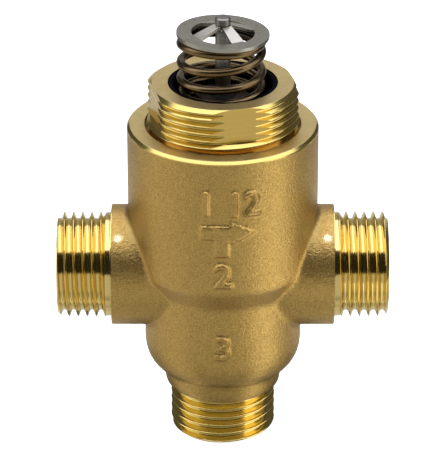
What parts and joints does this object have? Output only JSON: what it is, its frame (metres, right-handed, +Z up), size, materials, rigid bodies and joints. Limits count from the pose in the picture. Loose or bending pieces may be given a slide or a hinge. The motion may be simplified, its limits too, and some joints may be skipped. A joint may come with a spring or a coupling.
{
  "type": "three-way control valve",
  "caption": "Cast brass mixing valve: opposed side ports and a bottom port with male pipe threads, a threaded neck for an actuator and a sprung stem topped by a spoked disc.",
  "frame": {"origin": "centre of the bottom port's end face, on the stem axis", "axes": "+Z up the stem, X along the side ports, the raised marks face -Y"},
  "size_m": [0.0658, 0.0379, 0.0888],
  "materials": {
    "cast_brass": "blasted casting, with bright machined threads",
    "turned_brass": "turned",
    "black_moulding": "matte",
    "white_plastic": "satin",
    "black_rubber": "matte",
    "stainless_steel": "rolled and stamped",
    "spring_steel": "drawn wire, bronze-brown"
  },
  "bodies": {
    "housing": {"valve_body": "cast_brass", "upper_seat_ring": "turned_brass", "seat_ring_seal": "black_rubber", "bonnet_cup": "black_moulding", "bonnet_seal": "black_rubber", "guide_bush": "white_plastic", "lower_stem_seal": "black_rubber", "seal_spacer": "white_plastic", "upper_stem_seal": "black_rubber", "gland_nut": "turned_brass", "stem_wiper": "black_rubber", "spring_washer": "stainless_steel", "return_spring": "spring_steel"},
    "moving_stem": {"stem": "stainless_steel", "spring_retainer": "stainless_steel", "upper_plug": "turned_brass", "upper_plug_seal": "black_rubber", "plug_spacer": "turned_brass", "lower_plug": "turned_brass", "lower_plug_seal": "black_rubber", "plug_washer": "stainless_steel", "plug_nut": "stainless_steel"}
  },
  "joints": [
    {"name": "stem_slide", "type": "slide", "parent": "housing", "child": "moving_stem", "axis": [0, 0, -1], "range_m": [0, 0.004], "stiffness_N_per_m": 4750, "springref_m": -0.005, "deforming": ["return_spring"]}
  ]
}
